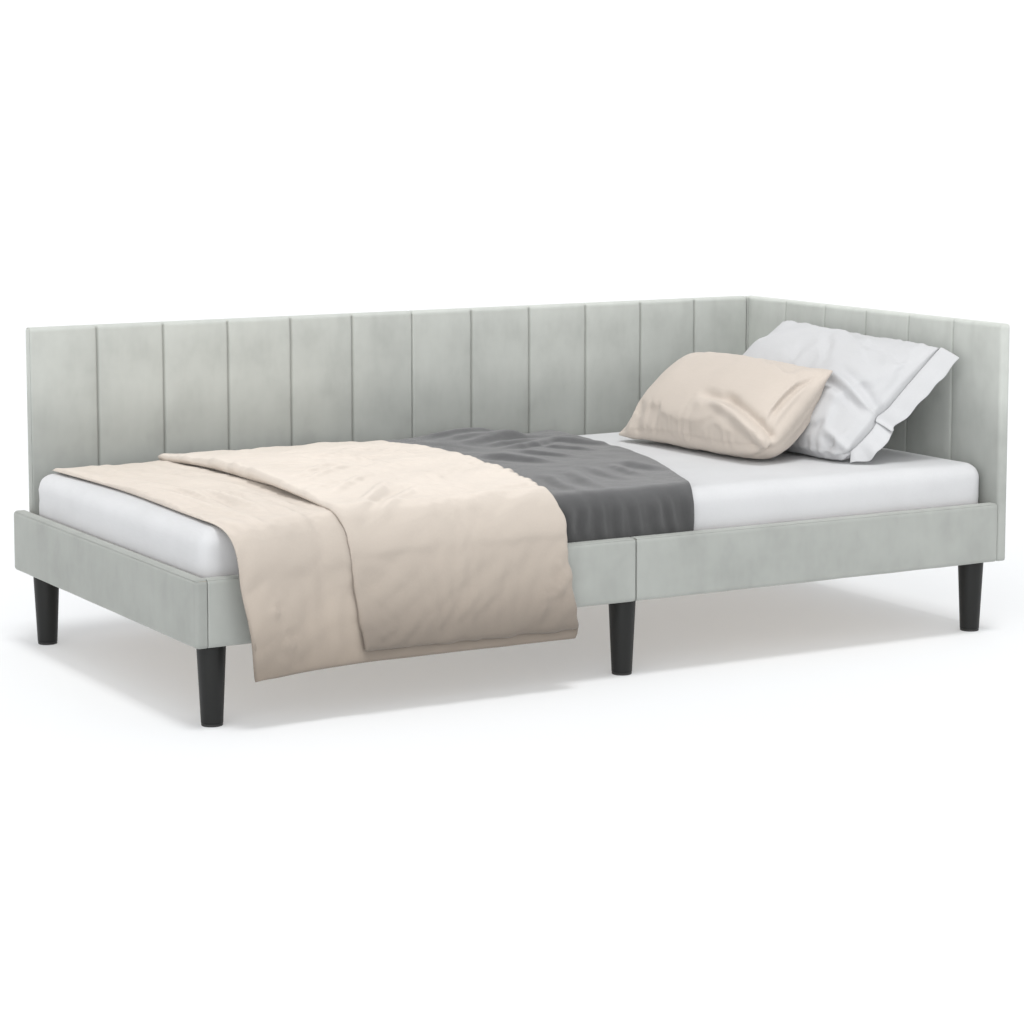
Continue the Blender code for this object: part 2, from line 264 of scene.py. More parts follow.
def velvet():
    """Short pile, laid a little differently from patch to patch. Its tone is also painted: darker towards the
    bottom of each cover and in the grooves between channels, as painted shade, and lighter or darker over each
    whole cover, as painted light and shade.
    """
    s = Shader("velvet", 0.82)
    base = (0.548, 0.570, 0.538)
    # The pile's own patches of tone, which differ at random.
    nap_and_painted_light = s.noise(9.0, 3.0, 0.6)
    streak = s.noise(26.0, 2.0, 0.6, stretch=(1.0, 1.0, 0.35))
    mixed = s.blend(nap_and_painted_light, streak, 0.65)
    tone = s.ramp(mixed, (0.32, shade(base, 0.89)), (0.50, base), (0.68, shade(base, 1.07)))
    # Painted shade: the velvet is coloured darker towards the bottom of each cover.
    tone = s.tinted(tone, s.upward("Object"), (0.17, 0.66), (0.31, 0.72), (0.42, 0.92), (0.60, 1))
    # Painted shade: the grooves between channels are coloured darker.
    tone = s.tinted(tone, s.stored("painted_seam_shade"), (0.0, 1), (1.0, (0.64, 0.64, 0.63)))
    # Painted light and shade: each whole cover is coloured lighter or darker, standing in for how the light
    # falls on it.
    s.colour(s.tinted(tone, s.stored("nap_and_painted_light"), (0.0, 0.70), (1.0, 1)))
    s.bump(s.noise(2200.0, 2.0), 0.12, 0.0006)
    s.bump(s.noise(60.0, 3.0), 0.10, 0.0015)
    s.sheen(0.35, 0.35, (0.93, 0.96, 0.90))
    return s.material


THREAD = 1500.0


def cotton(name, colour, crease, sheen=0.08, painted_shade_by_height=None):
    """Plain woven cotton: two sets of threads, faint slubs and fine creases.

    The last argument holds tints that follow height, painted shade that darkens a piece that hangs towards its
    bottom. Such a piece also stores painted shade under its folded-back layer and painted light and shade point
    by point, and its tone is painted darker where its surface turns away from facing up."""
    s = Shader(name, 0.85)
    weave = s.math("MULTIPLY", s.wave(THREAD, "X"), s.wave(THREAD, "Y"))
    weave = s.math("ADD", weave, s.math("MULTIPLY", s.wave(THREAD, "Z"), 0.5))
    slub = s.noise(300.0, 2.0, 0.5, stretch=(1.0, 0.12, 1.0))
    cloud = s.noise(7.0, 3.0, 0.55)
    mixed = s.blend(cloud, slub, 0.7)
    tone = s.ramp(mixed, (0.30, shade(colour, 0.95)), (0.52, colour), (0.72, shade(colour, 1.03)))
    if painted_shade_by_height:
        # Painted shade where a folded-back layer overhangs the layer below.
        tone = s.tinted(tone, s.stored("painted_shade_under_fold"), (0.0, 1), (1.0, 0.84))
        # Painted light and painted shade, stored point by point.
        tone = s.tinted(tone, s.stored("lit"), (0.0, 0.74), (0.5, 1), (1.0, 1.26))
        # Painted shade: darker towards the bottom of a hanging piece.
        tone = s.tinted(tone, s.upward("Object"), *painted_shade_by_height)
        # Painted shade: darker where the surface turns away from facing up.
        tone = s.tinted(tone, s.upward("Normal"), (0.0, 0.86), (0.70, 0.80), (0.90, 0.86), (0.985, 1))
    s.colour(tone)
    s.bump(weave, 0.10, 0.0003)
    s.bump(s.noise(38.0, 4.0, 0.6), crease, 0.004)
    s.sheen(sheen, 0.5)
    return s.material


def brushed_knit():
    s = Shader("blanket_knit", 0.9)
    base = (0.104, 0.105, 0.108)
    fuzz = s.noise(420.0, 3.0, 0.65)
    cloud = s.noise(11.0, 3.0, 0.6)
    mixed = s.blend(fuzz, cloud, 0.4)
    tone = s.ramp(mixed, (0.30, shade(base, 0.85)), (0.52, base), (0.72, shade(base, 1.18)))
    # Painted shade: the blanket is coloured darker where it hangs below the mattress top.
    painted_shade_hanging = ((0.30, (0.62, 0.62, 0.61)), (0.37, (0.72, 0.72, 0.71)), (0.405, 1))
    tone = s.tinted(tone, s.upward("Object"), *painted_shade_hanging)
    # Painted shade: darker where the surface turns away from facing up.
    s.colour(s.tinted(tone, s.upward("Normal"), (0.0, 0.80), (0.90, 0.80), (0.99, 1)))
    rows = s.math("MULTIPLY", s.wave(420.0, "X", 1.5), s.wave(560.0, "Y", 1.5))
    s.bump(rows, 0.25, 0.0006)
    s.bump(fuzz, 0.25, 0.0006)
    s.sheen(0.35, 0.45)
    return s.material


def wood(name, light, dark, along, scale=14.0):
    """Grain stretched along one axis, with fine pores."""
    s = Shader(name, 0.5)
    stretch = [1.0, 1.0, 1.0]
    stretch["XYZ".index(along)] = 0.06
    grain = s.noise(scale * 6, 4.0, 0.6, stretch=stretch)
    pores = s.noise(900.0, 2.0, 0.5, stretch=stretch)
    s.colour(s.ramp(s.blend(grain, pores, 0.8), (0.32, dark), (0.50, light), (0.68, shade(light, 1.08))))
    s.bump(pores, 0.15, 0.0004)
    return s.material


def plain(name, colour, roughness, metallic=0.0, fleck=0.06, scale=400.0, bump=0.08, depth=0.0003, gloss=0.5):
    """A moulded, painted or plated surface: slight tone variation and a fine texture."""
    s = Shader(name, roughness, metallic)
    s.out.inputs["Specular IOR Level"].default_value = gloss
    grain = s.noise(scale, 3.0, 0.6)
    s.colour(s.ramp(grain, (0.30, shade(colour, 1 - fleck)), (0.70, shade(colour, 1 + fleck))))
    rough = s.node("ShaderNodeMapRange")
    rough.inputs["To Min"].default_value = roughness - 0.06
    rough.inputs["To Max"].default_value = roughness + 0.06
    s.link(s.noise(18.0, 3.0), rough.inputs["Value"])
    s.link(rough.outputs["Result"], s.out.inputs["Roughness"])
    s.bump(grain, bump, depth)
    return s.material


MATERIALS = {
    "velvet": velvet(),
    "sheet": cotton("sheet_cotton", (0.575, 0.58, 0.59), crease=0.04),
    "white": cotton("white_percale", (0.53, 0.535, 0.545), crease=0.06),
    # The duvet's height tints are painted shade, darker towards its hem.
    "duvet": cotton("duvet_cotton", (0.695, 0.627, 0.558), crease=0.05, sheen=0.12, painted_shade_by_height=(
        (0.10, (0.32, 0.297, 0.272)), (0.20, (0.50, 0.475, 0.45)), (0.32, (0.72, 0.70, 0.68)),
        (0.40, (0.88, 0.87, 0.86)), (0.43, 1))),
    "cream": cotton("cream_cotton", (0.545, 0.485, 0.428), crease=0.06, sheen=0.12),
    "blanket": brushed_knit(),
    "slat": wood("slat_plywood", (0.66, 0.50, 0.31), (0.50, 0.35, 0.19), "Y"),
    "ledge": wood("ledge_wood", (0.62, 0.46, 0.28), (0.46, 0.32, 0.17), "X"),
    "board": wood("board_wood", (0.46, 0.33, 0.20), (0.34, 0.23, 0.13), "X", 30.0),
    "plastic": plain("black_plastic", (0.012, 0.0125, 0.012), 0.45, gloss=0.28),
    "glide": plain("glide_plastic", (0.020, 0.020, 0.020), 0.55),
    "zinc": plain("zinc_plate", (0.60, 0.61, 0.62), 0.38, 1.0, scale=140.0),
    "powder": plain("powder_coat", (0.045, 0.045, 0.046), 0.5, scale=1200.0, bump=0.2),
    "lining": plain("dust_lining", (0.10, 0.10, 0.102), 0.95, scale=1500.0, fleck=0.25, bump=0.4),
    "foam": plain("foam", (0.78, 0.72, 0.54), 0.95, scale=900.0, bump=0.5),
    "ticking": plain("ticking", (0.78, 0.78, 0.76), 0.9, scale=500.0, bump=0.3),
    "filling": plain("fibre", (0.86, 0.86, 0.84), 0.95, scale=700.0, bump=0.6),
}


def paint_cad_nodes():
    """The CAD nodes whose shape is right keep it and take a finished material."""
    by_ending = {"_board": "board", "_foam": "foam", "_lining": "lining"}
    by_start = {"slat_ledge": "ledge", "slat_": "slat", "bracket_": "zinc", "middle_crossbar": "powder"}
    for name, obj in nodes.items():
        found = [kind for ending, kind in by_ending.items() if name.endswith(ending)]
        found += [kind for start, kind in by_start.items() if name.startswith(start)]
        if found:
            for slot in obj.material_slots:
                slot.material = MATERIALS[found[0]]


# Upholstery. A cover is an open tub of velvet: its padded face, rounded edges and four sides.

def welded():
    """Empty lists of points and faces, and a function that gives a point's number, adding it if it is new."""
    index = {}
    points = []

    def at(*place):
        key = tuple(round(value, 6) for value in place)
        if key not in index:
            index[key] = len(points)
            points.append(key)
        return index[key]

    return points, [], at


def spaced(length, step, extra=()):
    """Grid lines from 0 to length: close together near both ends and near each value in extra."""
    near = [0.0, 0.0012, 0.0026, 0.0043, 0.0063, 0.0088, 0.012, 0.017, 0.025, 0.038]
    lines = {round(x, 5) for x in near} | {round(length - x, 5) for x in near}
    for centre in extra:
        for x in near:
            lines |= {round(centre - x, 5), round(centre + x, 5)}
    count = max(int(length / step), 2)
    fill = [length * k / count for k in range(count + 1)]
    lines = sorted(x for x in lines if 0 <= x <= length)
    lines += [x for x in fill if min(abs(x - y) for y in lines) > step * 0.45]
    return sorted(lines)


def tub_grid(size, lines_x, lines_z, wrap):
    """Points and quads of a box's front, four sides and rear border, in x along, y out and z up."""
    length, depth, height = size
    ys = [0.0, 0.0008, 0.002, depth * 0.35, depth * 0.62, depth * 0.8]
    points, faces, at = welded()
    rim_y = ys + [depth - 0.0043, depth - 0.0012, depth]
    for x0, x1 in zip(lines_x, lines_x[1:]):
        for z0, z1 in zip(lines_z, lines_z[1:]):
            faces.append((at(x0, depth, z0), at(x1, depth, z0), at(x1, depth, z1), at(x0, depth, z1)))
            if min(x0, z0, length - x1, height - z1) < wrap - 0.001:
                faces.append((at(x0, 0, z0), at(x0, 0, z1), at(x1, 0, z1), at(x1, 0, z0)))
        for y0, y1 in zip(rim_y, rim_y[1:]):
            faces.append((at(x0, y0, 0), at(x1, y0, 0), at(x1, y1, 0), at(x0, y1, 0)))
            faces.append((at(x0, y0, height), at(x0, y1, height), at(x1, y1, height), at(x1, y0, height)))
    for z0, z1 in zip(lines_z, lines_z[1:]):
        for y0, y1 in zip(rim_y, rim_y[1:]):
            faces.append((at(0, y0, z0), at(0, y1, z0), at(0, y1, z1), at(0, y0, z1)))
            faces.append((at(length, y0, z0), at(length, y0, z1), at(length, y1, z1), at(length, y1, z0)))
    return np.array(points), faces


def rounded(points, size, radii, rear):
    """Moves points on a box's surface onto the rounded box, and gives their outward normals."""
    length, depth, height = size
    rx, ry, rz = radii
    front = (points[:, 1] > depth / 2)[:, None]
    radius = np.where(front, [[rx, ry, rz]], [[rx, max(rear, 1e-6), rz]])
    low = radius.copy()
    high = np.array([length, depth, height]) - radius
    if not rear:
        low[:, 1] = -1.0
    core = np.clip(points, low, high)
    unit = (points - core) / radius
    unit /= np.linalg.norm(unit, axis=1)[:, None]
    normals = unit / radius
    normals /= np.linalg.norm(normals, axis=1)[:, None]
    return core + unit * radius, normals


ALONG, ACROSS = math.radians(180), math.radians(90)
PUFF = 0.0018


def unit_frame(name, turn):
    """The length and height of a rail or panel, and the matrix of its CAD unit's own frame."""
    low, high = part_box(name + "_cover")
    length = high.x - low.x if turn == ALONG else high.y - low.y
    corner_y = high.y if turn == ALONG else low.y
    place = Matrix.Translation((high.x, corner_y, UNDERSIDE)) @ Matrix.Rotation(turn, 4, "Z")
    return length, high.z - low.z, place


def cover(name, turn, seams, radii, seed, wrap=0.0, seam_shade_strength=1.0, nap_and_painted_light=0.75, as_long_as=None):
    """A velvet cover for one rail or panel. It turns in behind by wrap.

    How light the whole cover is coloured, from 0 to 1, is painted light and shade that stands in for how the
    light falls on that cover. The grooves between its channels are coloured darker as painted shade, with a
    strength given for each cover."""
    _, height, place = unit_frame(name, turn)
    length = unit_frame(as_long_as or name, turn)[0]
    depth = THICKNESS
    lines_x = spaced(length, 0.016, seams)
    lines_z = spaced(height, 0.014)
    size = (length, depth, height)
    flat, faces = tub_grid(size, lines_x, lines_z, wrap)
    points, normals = rounded(flat, size, radii, 0.002 if wrap else 0.0)
    inner = np.minimum.reduce([points[:, 0], length - points[:, 0], points[:, 2], height - points[:, 2]])
    outer = smoothstep(0.002, 0.02, points[:, 1])
    lift = PUFF * smoothstep(0.0, 0.05, inner) * outer
    lift += 0.0007 * waves(points + seed, 0.09, seed, 2) * outer
    if seams:
        away = np.min(np.abs(points[:, :1] - np.array(seams)[None, :]), axis=1)
        groove = 0.0032 * np.exp(-(away / 0.0022) ** 1.6) + 0.0034 * np.exp(-away / 0.014)
        ahead = 0.32 + 0.68 * np.clip(normals[:, 1], 0, 1) ** 2
        lift -= groove * ahead * smoothstep(0.2 * depth, 0.8 * depth, points[:, 1])
    points = points + normals * lift[:, None]
    made = mesh_object(name + "_velvet", points, faces, MATERIALS["velvet"])
    if seams:
        # Painted shade for the channel grooves, strongest on faces that look out of the cover.
        store(made, "painted_seam_shade", seam_shade_strength * np.exp(-(away / 0.0030) ** 2) * np.clip(normals[:, 1], 0, 1))
    # Painted light and shade for the whole cover.
    store(made, "nap_and_painted_light", np.full(len(made.data.vertices), nap_and_painted_light))
    solidify(made, 0.0015)
    made.data.shade_smooth()
    made.matrix_world = place
    declare(made, "frame", "velvet", name + "_cover")


rail_low, rail_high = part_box("foot_rail_cover")
THICKNESS = rail_high.x - rail_low.x
UNDERSIDE = rail_low.z
CHANNELS = 6


def upholstery():
    soft, tight, slim = 0.009, 0.0035, 0.005
    wrap = 0.038
    # The last number for each cover is painted light and shade: how light the whole cover is coloured.
    cover("foot_rail", ACROSS, [], (soft, soft, soft), 1, nap_and_painted_light=0.42)
    cover("front_rail_left", ALONG, [], (tight, soft, soft), 2)
    cover("front_rail_right", ALONG, [], (tight, soft, soft), 3, as_long_as="front_rail_left")
    for name, seed, nap_and_painted_light in (("back_panel_left", 4, 0.66), ("back_panel_right", 5, 0.78)):
        length = unit_frame(name, ALONG)[0]
        seams = [length * k / CHANNELS for k in range(1, CHANNELS)]
        cover(name, ALONG, seams, (slim, soft, soft), seed, wrap, nap_and_painted_light=nap_and_painted_light)
        dust_lining(name, ALONG, seed)
    # The back panel covers the end panel's last stretch, and the first channel is the widest.
    visible = unit_frame("end_panel", ACROSS)[0] - THICKNESS
    seams = [visible * k / CHANNELS + 0.010 * (1 - k / CHANNELS) for k in range(1, CHANNELS + 1)]
    # The end panel's channel grooves get weaker painted shade than the back panels' do.
    cover("end_panel", ACROSS, seams, (soft, soft, soft), 6, wrap, seam_shade_strength=0.45, nap_and_painted_light=1.0)
    dust_lining("end_panel", ACROSS, 7)


LINING_INSET = 0.013
STAPLE_PITCH = 0.062


def dust_lining(unit, turn, seed):
    """The dark non-woven cloth on the back of a panel, folded in at its edges and stapled all round."""
    length, height, place = unit_frame(unit, turn)
    width, tall = length - 2 * LINING_INSET, height - 2 * LINING_INSET
    columns, rows = int(width / 0.012), int(tall / 0.012)
    i, j = unit_grid(columns, rows)
    away = np.minimum.reduce([i * width, (1 - i) * width, j * tall, (1 - j) * tall]).ravel()
    x, z = LINING_INSET + i.ravel() * width, LINING_INSET + j.ravel() * tall
    flat = np.stack([x, np.full_like(x, -0.0004), z], axis=-1)
    ripple = 0.0007 * waves(flat + seed, 0.07, seed, 2)
    near = np.abs((x + z) % STAPLE_PITCH - STAPLE_PITCH / 2) / STAPLE_PITCH
    tuck = 0.0010 * near * np.exp(-away / 0.012)
    hem = 0.0008 * smoothstep(0.016, 0.012, away)
    flat[:, 1] -= np.maximum(ripple * smoothstep(0.005, 0.03, away) + tuck + hem, 0)
    cloth = grid_mesh(unit + "_dust_cloth", flat, i.shape, MATERIALS["lining"])
    solidify(cloth, 0.0005, 0.0)
    points = []
    faces = []
    for k in range(int(width / STAPLE_PITCH)):
        for z_at in (LINING_INSET + 0.006, height - LINING_INSET - 0.006):
            staple(points, faces, (LINING_INSET + (k + 0.5) * STAPLE_PITCH, -0.0022, z_at), (1, 0))
    for k in range(int(tall / STAPLE_PITCH)):
        for x_at in (LINING_INSET + 0.006, length - LINING_INSET - 0.006):
            staple(points, faces, (x_at, -0.0022, LINING_INSET + (k + 0.5) * STAPLE_PITCH), (0, 1))
    staples = mesh_object(unit + "_staples", points, faces, MATERIALS["zinc"])
    cloth.matrix_world = staples.matrix_world = place
    declare(cloth, "frame", "lining", unit + "_lining")
    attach(staples, "frame")


def staple(points, faces, centre, along, length=0.011, radius=0.0006):
    """Adds one staple's crown, a round wire that dips into the cloth at both ends."""
    first = len(points)
    sides = 6
    for share in (-0.5, -0.46, -0.38, 0.38, 0.46, 0.5):
        dip = 0.0016 * max(abs(share) - 0.38, 0) / 0.12
        for k in range(sides):
            angle = 2 * math.pi * k / sides
            off = radius * math.cos(angle)
            x = centre[0] + along[0] * share * length + along[1] * off
            z = centre[2] + along[1] * share * length + along[0] * off
            points.append((x, centre[1] + dip + radius * math.sin(angle), z))
    rings = 6
    for ring in range(rings - 1):
        for k in range(sides):
            a, b = first + ring * sides + k, first + ring * sides + (k + 1) % sides
            faces.append((a, b, b + sides, a + sides))
    faces.append(tuple(range(first, first + sides)))
    faces.append(tuple(range(first + (rings - 1) * sides, first + rings * sides)))


# Legs

def turned(name, profile, centre, material, sides=56):
    """A turned solid from (radius, z) points, both ends on the axis."""
    points = []
    rows = []
    for radius, z in profile:
        count = sides if radius > 0 else 1
        rows.append(range(len(points), len(points) + count))
        angles = [2 * math.pi * k / sides for k in range(count)]
        points += [(centre[0] + radius * math.cos(a), centre[1] + radius * math.sin(a), z) for a in angles]
    faces = []
    for lower, upper in zip(rows, rows[1:]):
        for k in range(sides):
            n = (k + 1) % sides
            below, above = len(lower), len(upper)
            corners = [lower[k % below], lower[n % below], upper[n % above], upper[k % above]]
            faces.append(list(dict.fromkeys(corners)))
    made = mesh_object(name, points, faces, material)
    made.data.set_sharp_from_angle(angle=math.radians(40))
    return made


def rounded_corner(radius, z, size, start, steps=4):
    """Profile points round a convex corner at (radius, z), turning from start degrees by 90."""
    sign = 1 if start == 0 else -1
    centre = (radius - size, z - sign * size)
    angles = [math.radians(start + 90 * k / steps) for k in range(steps + 1)]
    return [(centre[0] + size * math.cos(a), centre[1] + size * math.sin(a)) for a in angles]


def legs():
    for row in ("front", "back"):
        for column in ("left", "middle", "right"):
            low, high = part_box(f"leg_{row}_{column}")
            glide_low, glide_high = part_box(f"glide_{row}_{column}")
            centre = ((low.x + high.x) / 2, (low.y + high.y) / 2)
            top_r = (high.x - low.x) / 2
            foot_r = (glide_high.x - glide_low.x) / 2
            shoulder = UNDERSIDE - 0.0003
            edge = 0.0012
            profile = [(0, low.z)] + rounded_corner(foot_r, low.z, edge, -90)
            profile += rounded_corner(top_r, shoulder, edge, 0)
            profile += [(0.004, shoulder), (0.004, high.z - 0.001), (0.003, high.z), (0, high.z)]
            leg = turned(f"leg_{row}_{column}_turned", profile, centre, MATERIALS["plastic"])
            profile = [(0, glide_low.z)] + rounded_corner(foot_r - 0.0006, glide_low.z, 0.0015, -90)
            profile += rounded_corner(foot_r - 0.0006, glide_high.z, 0.0006, 0) + [(0, glide_high.z)]
            glide = turned(f"glide_{row}_{column}_moulded", profile, centre, MATERIALS["glide"])
            declare(leg, "frame", "black_plastic", f"leg_{row}_{column}")
            declare(glide, "frame", "glide", f"glide_{row}_{column}")


# Mattress and sheet

def box_shell(low, high, step, bottom):
    """Points and quads of a box with an even grid on its faces; the bottom face is optional."""
    points, faces, at = welded()
    counts = [max(int((high[k] - low[k]) / step), 3) for k in range(3)]
    axes = []
    for k in range(3):
        edge = [0, 0.006, 0.014, 0.024, 0.036]
        inner = [edge[-1] + (high[k] - low[k] - 2 * edge[-1]) * t / counts[k] for t in range(1, counts[k])]
        axes.append([low[k] + x for x in edge + inner] + [high[k] - x for x in edge[::-1]])

    for k, side in ((0, 0), (0, 1), (1, 0), (1, 1), (2, 0), (2, 1)):
        if k == 2 and side == 0 and not bottom:
            continue
        fixed = axes[k][-1] if side else axes[k][0]
        a, b = [m for m in range(3) if m != k]
        for u0, u1 in zip(axes[a], axes[a][1:]):
            for v0, v1 in zip(axes[b], axes[b][1:]):
                ring = []
                for u, v in ((u0, v0), (u1, v0), (u1, v1), (u0, v1)):
                    p = [0.0, 0.0, 0.0]
                    p[k], p[a], p[b] = fixed, u, v
                    ring.append(at(*p))
                faces.append(ring)
    return np.array(points), faces


def round_box(points, low, high, radius, radius_low):
    low, high = np.array(low), np.array(high)
    inner_low = low + np.array([radius, radius, radius_low])
    core = np.clip(points, inner_low, high - radius)
    reach = np.where((points < inner_low)[:, 2:3], np.array([[radius, radius, radius_low]]), radius)
    unit = (points - core) / reach
    size = np.linalg.norm(unit, axis=1)
    size[size < 1e-9] = 1
    unit /= size[:, None]
    return core + unit * reach, unit


def mattress_and_sheet():
    low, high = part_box("fitted_sheet")
    inset = 0.0026
    core_low, core_high = low + Vector((inset, inset, 0.0)), high - Vector((inset,) * 3)
    points, faces = box_shell(core_low, core_high, 0.03, True)
    points, _ = round_box(points, core_low, core_high, 0.034, 0.02)
    below = smoothstep(0.0, 0.01, low.z + 0.01 - points[:, 2])
    tuft_pitch = 0.14
    tufts = np.sin(points[:, :2] * math.pi / tuft_pitch)
    quilt = np.abs(tufts[:, 0] * tufts[:, 1]) ** 0.5
    points[:, 2] += below * (1 - quilt) * 0.004
    mattress = mesh_object("mattress_core", points, faces, MATERIALS["ticking"])
    declare(mattress, "mattress", "ticking", "mattress")

    points, faces = box_shell(low, high, 0.022, False)
    points, normals = round_box(points, low, high, 0.036, 0.0001)
    inner_x = np.minimum(points[:, 0] - low.x, high.x - points[:, 0])
    inner_y = np.minimum(points[:, 1] - low.y, high.y - points[:, 1])
    to_corner = np.hypot(inner_x, inner_y)
    pull = np.exp(-(to_corner / 0.16) ** 2)
    ripple = 0.0016 * waves(points * np.array([1.0, 1.0, 3.0]), 0.05, 21, 2) * pull
    drift = 0.0010 * waves(points, 0.30, 22, 2)
    points += normals * (ripple + drift - 0.0008)[:, None]
    sheet = mesh_object("fitted_sheet_cotton", points, faces, MATERIALS["sheet"])
    solidify(sheet, 0.0014)
    sheet.data.shade_smooth()
    declare(sheet, "mattress", "sheet", "fitted_sheet")


# Duvet and blanket. Both cross the bed, from the back to the front.

def smooth_curve(knots, samples):
    """Points on a smooth curve through the knots, evenly spread in the knots' own parameter."""
    knots = np.array(knots, float)
    padded = np.vstack([2 * knots[0] - knots[1], knots, 2 * knots[-1] - knots[-2]])
    made = []
    for t in np.linspace(0, len(knots) - 1, samples):
        k = min(int(t), len(knots) - 2)
        f = t - k
        a, b, c, d = padded[k:k + 4]
        made.append(0.5 * (2 * b + (c - a) * f + (2 * a - 5 * b + 4 * c - d) * f * f
                           + (3 * b - a - 3 * c + d) * f ** 3))
    return np.array(made)


# What the bed holds, read from the CAD
sheet_low, sheet_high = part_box("fitted_sheet")
blanket_low, blanket_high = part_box("blanket")
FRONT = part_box("front_rail_left_cover")[0].y
TOP = sheet_high.z
BACK_Y = blanket_high.y
EDGE_START = 0.09
HEM = -0.30


def crossing(lift, end, lean, crown=0.0, belly=0.0, square=2.0, back=0.975):
    """A line across the bed, as (y from the front rail's outer face, z from the mattress top), back to hem.

    It runs level at lift, and crown higher halfway, as far as EDGE_START. It turns down to end on a quarter
    of an ellipse, squarer as square grows, then hangs to HEM, leaning out by lean and bulging by belly."""
    t = np.linspace(0, 1, 120, endpoint=False)
    level = np.stack([back + (EDGE_START - back) * t, lift + crown * np.sin(math.pi * t)], axis=-1)
    turned_y = np.sin(t * math.pi / 2) ** (2 / square)
    turned_z = np.cos(t * math.pi / 2) ** (2 / square)
    bend_y = EDGE_START + (end[0] - EDGE_START) * turned_y
    bend = np.stack([bend_y, end[1] + (lift - end[1]) * turned_z], axis=-1)
    s = np.linspace(0, 1, 120)
    hang_y = end[0] - lean * s ** 1.5 - belly * np.sin(math.pi * s) ** 2
    hang = np.stack([hang_y, end[1] + (HEM - end[1]) * s], axis=-1)
    return np.vstack([level, bend, hang])


class Across:
    """Places points by (x, how far along the path, share of the way from the inner to the outer path)."""

    def __init__(self):
        inner = crossing(lift=0.002, end=(-0.005, -0.10), lean=0.02)
        outer = crossing(lift=0.024, end=(-0.015, -0.07), lean=0.04, crown=0.026)
        middle = (inner + outer) / 2
        run = np.concatenate([[0], np.cumsum(np.linalg.norm(np.diff(middle, axis=0), axis=1))])
        self.length = run[-1]
        # The lower layer's free edge stands out over the mattress edge.
        self.edge = crossing(lift=0.008, end=(-0.045, -0.09), lean=-0.01, belly=0.016, square=3.0)
        self.inner, self.outer, self.run = inner, outer, run

    def at(self, x, distance, share, swing=0.0):
        """swing takes a point from between the two paths, at 0, to beside the free edge's path, at 1."""
        columns = (*self.inner.T, *self.outer.T, *self.edge.T)
        iy, iz, oy, oz, ey, ez = (np.interp(distance, self.run, column) for column in columns)
        y, z = iy + (oy - iy) * share, iz + (oz - iz) * share
        beside = (share - 0.20) * 0.75
        y += (ey + (oy - iy) * beside - y) * swing
        z += (ez + (oz - iz) * beside - z) * swing
        return np.stack([x, FRONT + y, TOP + z], axis=-1)


def pad_mesh(name, outside, inside, material):
    """A closed thin pad from two grids of points that meet along their borders.

    Returns the object and the numbers of each grid's points, outside first."""
    shape = outside.shape[:2]
    ids = np.arange(shape[0] * shape[1]).reshape(shape)
    inner = np.zeros(shape, bool)
    inner[1:-1, 1:-1] = True
    below = ids.copy()
    below[inner] = ids.size + np.arange(inner.sum())
    points = np.vstack([outside.reshape(-1, 3), inside[inner]])
    faces = []
    for grid, step in ((ids, 1), (below, -1)):
        faces += grid_quads(grid)[:, ::step].tolist()
    return mesh_object(name, points, faces, material), ids, below


def weights(obj, name, values):
    group = obj.vertex_groups.new(name=name)
    steps = np.round(np.clip(values, 0, 1), 2)
    for level in np.unique(steps):
        if level > 0:
            group.add(np.nonzero(steps == level)[0].tolist(), float(level), "REPLACE")


STIFFNESS = 15.0
GATHER = 0.03


def simulate(obj, frames, pressure, growth, cap, bending):
    """Swells and wrinkles a pad with Blender's cloth. "held" points stay, and "gathered" ones draw up."""
    before = points_of(obj)
    cloth = obj.modifiers.new("cloth", "CLOTH")
    settings = cloth.settings
    settings.quality = 5
    settings.mass = 0.25
    settings.tension_stiffness = settings.compression_stiffness = STIFFNESS
    settings.shear_stiffness = STIFFNESS / 3
    settings.bending_stiffness = bending
    settings.use_pressure = True
    settings.uniform_pressure_force = pressure
    settings.shrink_min = -growth
    settings.effector_weights.gravity = 0.0
    settings.air_damping = 2.0
    cloth.collision_settings.use_collision = False
    cloth.collision_settings.use_self_collision = False
    if "held" in obj.vertex_groups:
        settings.vertex_group_mass = "held"
        settings.pin_stiffness = 1.0
    settings.vertex_group_shrink = "gathered"
    settings.shrink_max = GATHER
    scene = bpy.context.scene
    cloth.point_cache.frame_start = 1
    cloth.point_cache.frame_end = frames
    for step in range(1, frames + 1):
        scene.frame_set(step)
    apply_modifiers(obj)
    scene.frame_set(1)
    moved = points_of(obj) - before
    far = np.linalg.norm(moved, axis=1)
    share = np.minimum(1.0, cap / np.maximum(far, 1e-9))
    set_points(obj, before + moved * share[:, None])


def creases(u, v, strokes):
    """Sum of soft ridges, each with a shallow valley beside it: (from u, v, to u, v, half width, height)."""
    total = np.zeros_like(u)
    for u0, v0, u1, v1, wide, high in strokes:
        du, dv = u1 - u0, v1 - v0
        length = math.hypot(du, dv)
        along = ((u - u0) * du + (v - v0) * dv) / length ** 2
        across = ((u - u0) * dv - (v - v0) * du) / length
        across = across + 0.12 * length * (along - 0.5) ** 2
        ends = smoothstep(-0.12, 0.30, along) * smoothstep(1.12, 0.70, along)
        ridge = np.exp(-(across / wide) ** 2) - 0.55 * np.exp(-((across - 1.9 * wide) / (1.1 * wide)) ** 2)
        total += high * ridge * ends
    return total


def fan(first, last, count, wide, high, seed, stray=0.02, fade=1.0):
    """A row of folds whose ends go evenly from the first stroke's to the last one's, each straying a little.

    A stroke is (from u, from v, to u, to v). Each fold is fade times as high as the one before it."""
    chance = np.random.default_rng(seed)
    folds = []
    for k, share in enumerate(np.linspace(0, 1, count)):
        ends = np.array(first) * (1 - share) + np.array(last) * share + chance.uniform(-stray, stray, 4)
        size = chance.uniform(0.8, 1.2)
        folds.append((*ends, wide * size, high * size * fade ** k))
    return folds


